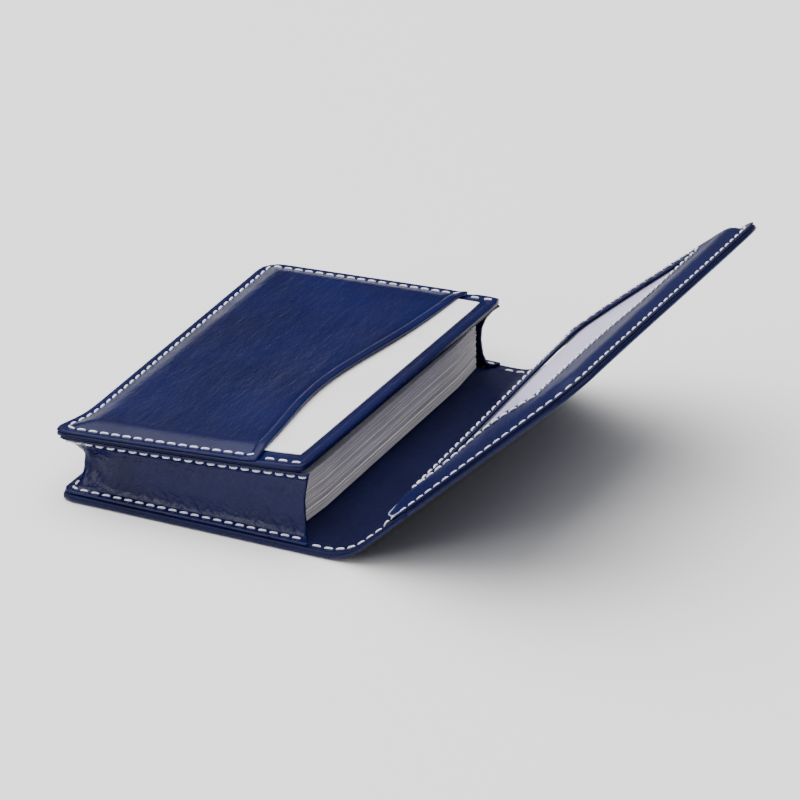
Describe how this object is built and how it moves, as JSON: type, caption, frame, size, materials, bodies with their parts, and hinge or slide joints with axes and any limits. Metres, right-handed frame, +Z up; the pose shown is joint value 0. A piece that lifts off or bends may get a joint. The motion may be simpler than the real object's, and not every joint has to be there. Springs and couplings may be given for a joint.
{
  "type": "business card case",
  "caption": "Open gusseted leather card case: stitched pocket with a stack of cards, a slip pocket, and a fold-over flap with a card window.",
  "frame": {"origin": "middle of the card pocket's footprint, on the flat underside of the back panel", "axes": "+X from the pocket's closed end to its mouth and on to the flap; +Y across the width; +Z up, away from the surface that the back panel lies on"},
  "size_m": [0.1242, 0.099, 0.0554],
  "materials": {
    "outer_leather": "glossy finely grained navy leather",
    "lining_leather": "smooth semi-gloss navy leather lining",
    "board": "matte grey board",
    "card_stock": "smooth matte white card",
    "pale_card": "smooth matte lavender card",
    "clear_film": "clear glossy film",
    "thread": "waxed off-white thread"
  },
  "bodies": {
    "case": {"back_outer_leather": "outer_leather", "back_stiffener": "board", "back_lining": "lining_leather", "gusset_near": "outer_leather", "gusset_far": "outer_leather", "gusset_end": "outer_leather", "card_01": "card_stock", "card_02": "card_stock", "card_03": "card_stock", "card_04": "card_stock", "card_05": "card_stock", "card_06": "card_stock", "card_07": "card_stock", "card_08": "card_stock", "card_09": "card_stock", "card_10": "card_stock", "card_11": "card_stock", "card_12": "card_stock", "card_13": "card_stock", "front_outer_leather": "outer_leather", "front_stiffener": "board", "front_lining": "lining_leather", "slip_pocket": "outer_leather", "thread_back": "thread", "thread_front": "thread", "thread_mouth_near": "thread", "thread_mouth_far": "thread"},
    "top_card": {"top_card": "card_stock"},
    "slip_card": {"slip_card": "card_stock"},
    "spine": {"spine_outer_leather": "outer_leather", "spine_lining": "lining_leather", "window_panel_mouth": "outer_leather", "thread_spine_near": "thread", "thread_spine_far": "thread"},
    "flap": {"flap_outer_leather": "outer_leather", "flap_stiffener": "board", "flap_lining": "lining_leather", "window_panel": "outer_leather", "window_film": "clear_film", "thread_flap": "thread", "thread_window": "thread"},
    "window_card": {"window_card": "pale_card"}
  },
  "joints": [
    {"name": "spine_fold", "type": "hinge", "parent": "case", "child": "spine", "pos_m": [0.0335, 0, 0.00035], "axis": [0, 1, 0], "range_deg": [-55.7, 34.3]},
    {"name": "flap_fold", "type": "hinge", "parent": "spine", "child": "flap", "pos_m": [0.05518, 0, 0.01514], "axis": [0, 1, 0], "range_deg": [-83.52, 9.2]},
    {"name": "top_card_slide", "type": "slide", "parent": "case", "child": "top_card", "axis": [1, 0, 0], "range_m": [0, 0.018]},
    {"name": "slip_card_slide", "type": "slide", "parent": "case", "child": "slip_card", "axis": [0.9989, 0, 0.0474], "range_m": [0, 0.022]},
    {"name": "window_card_slide", "type": "slide", "parent": "flap", "child": "window_card", "axis": [-0.7254, 0, -0.6884], "range_m": [0, 0.004]}
  ]
}
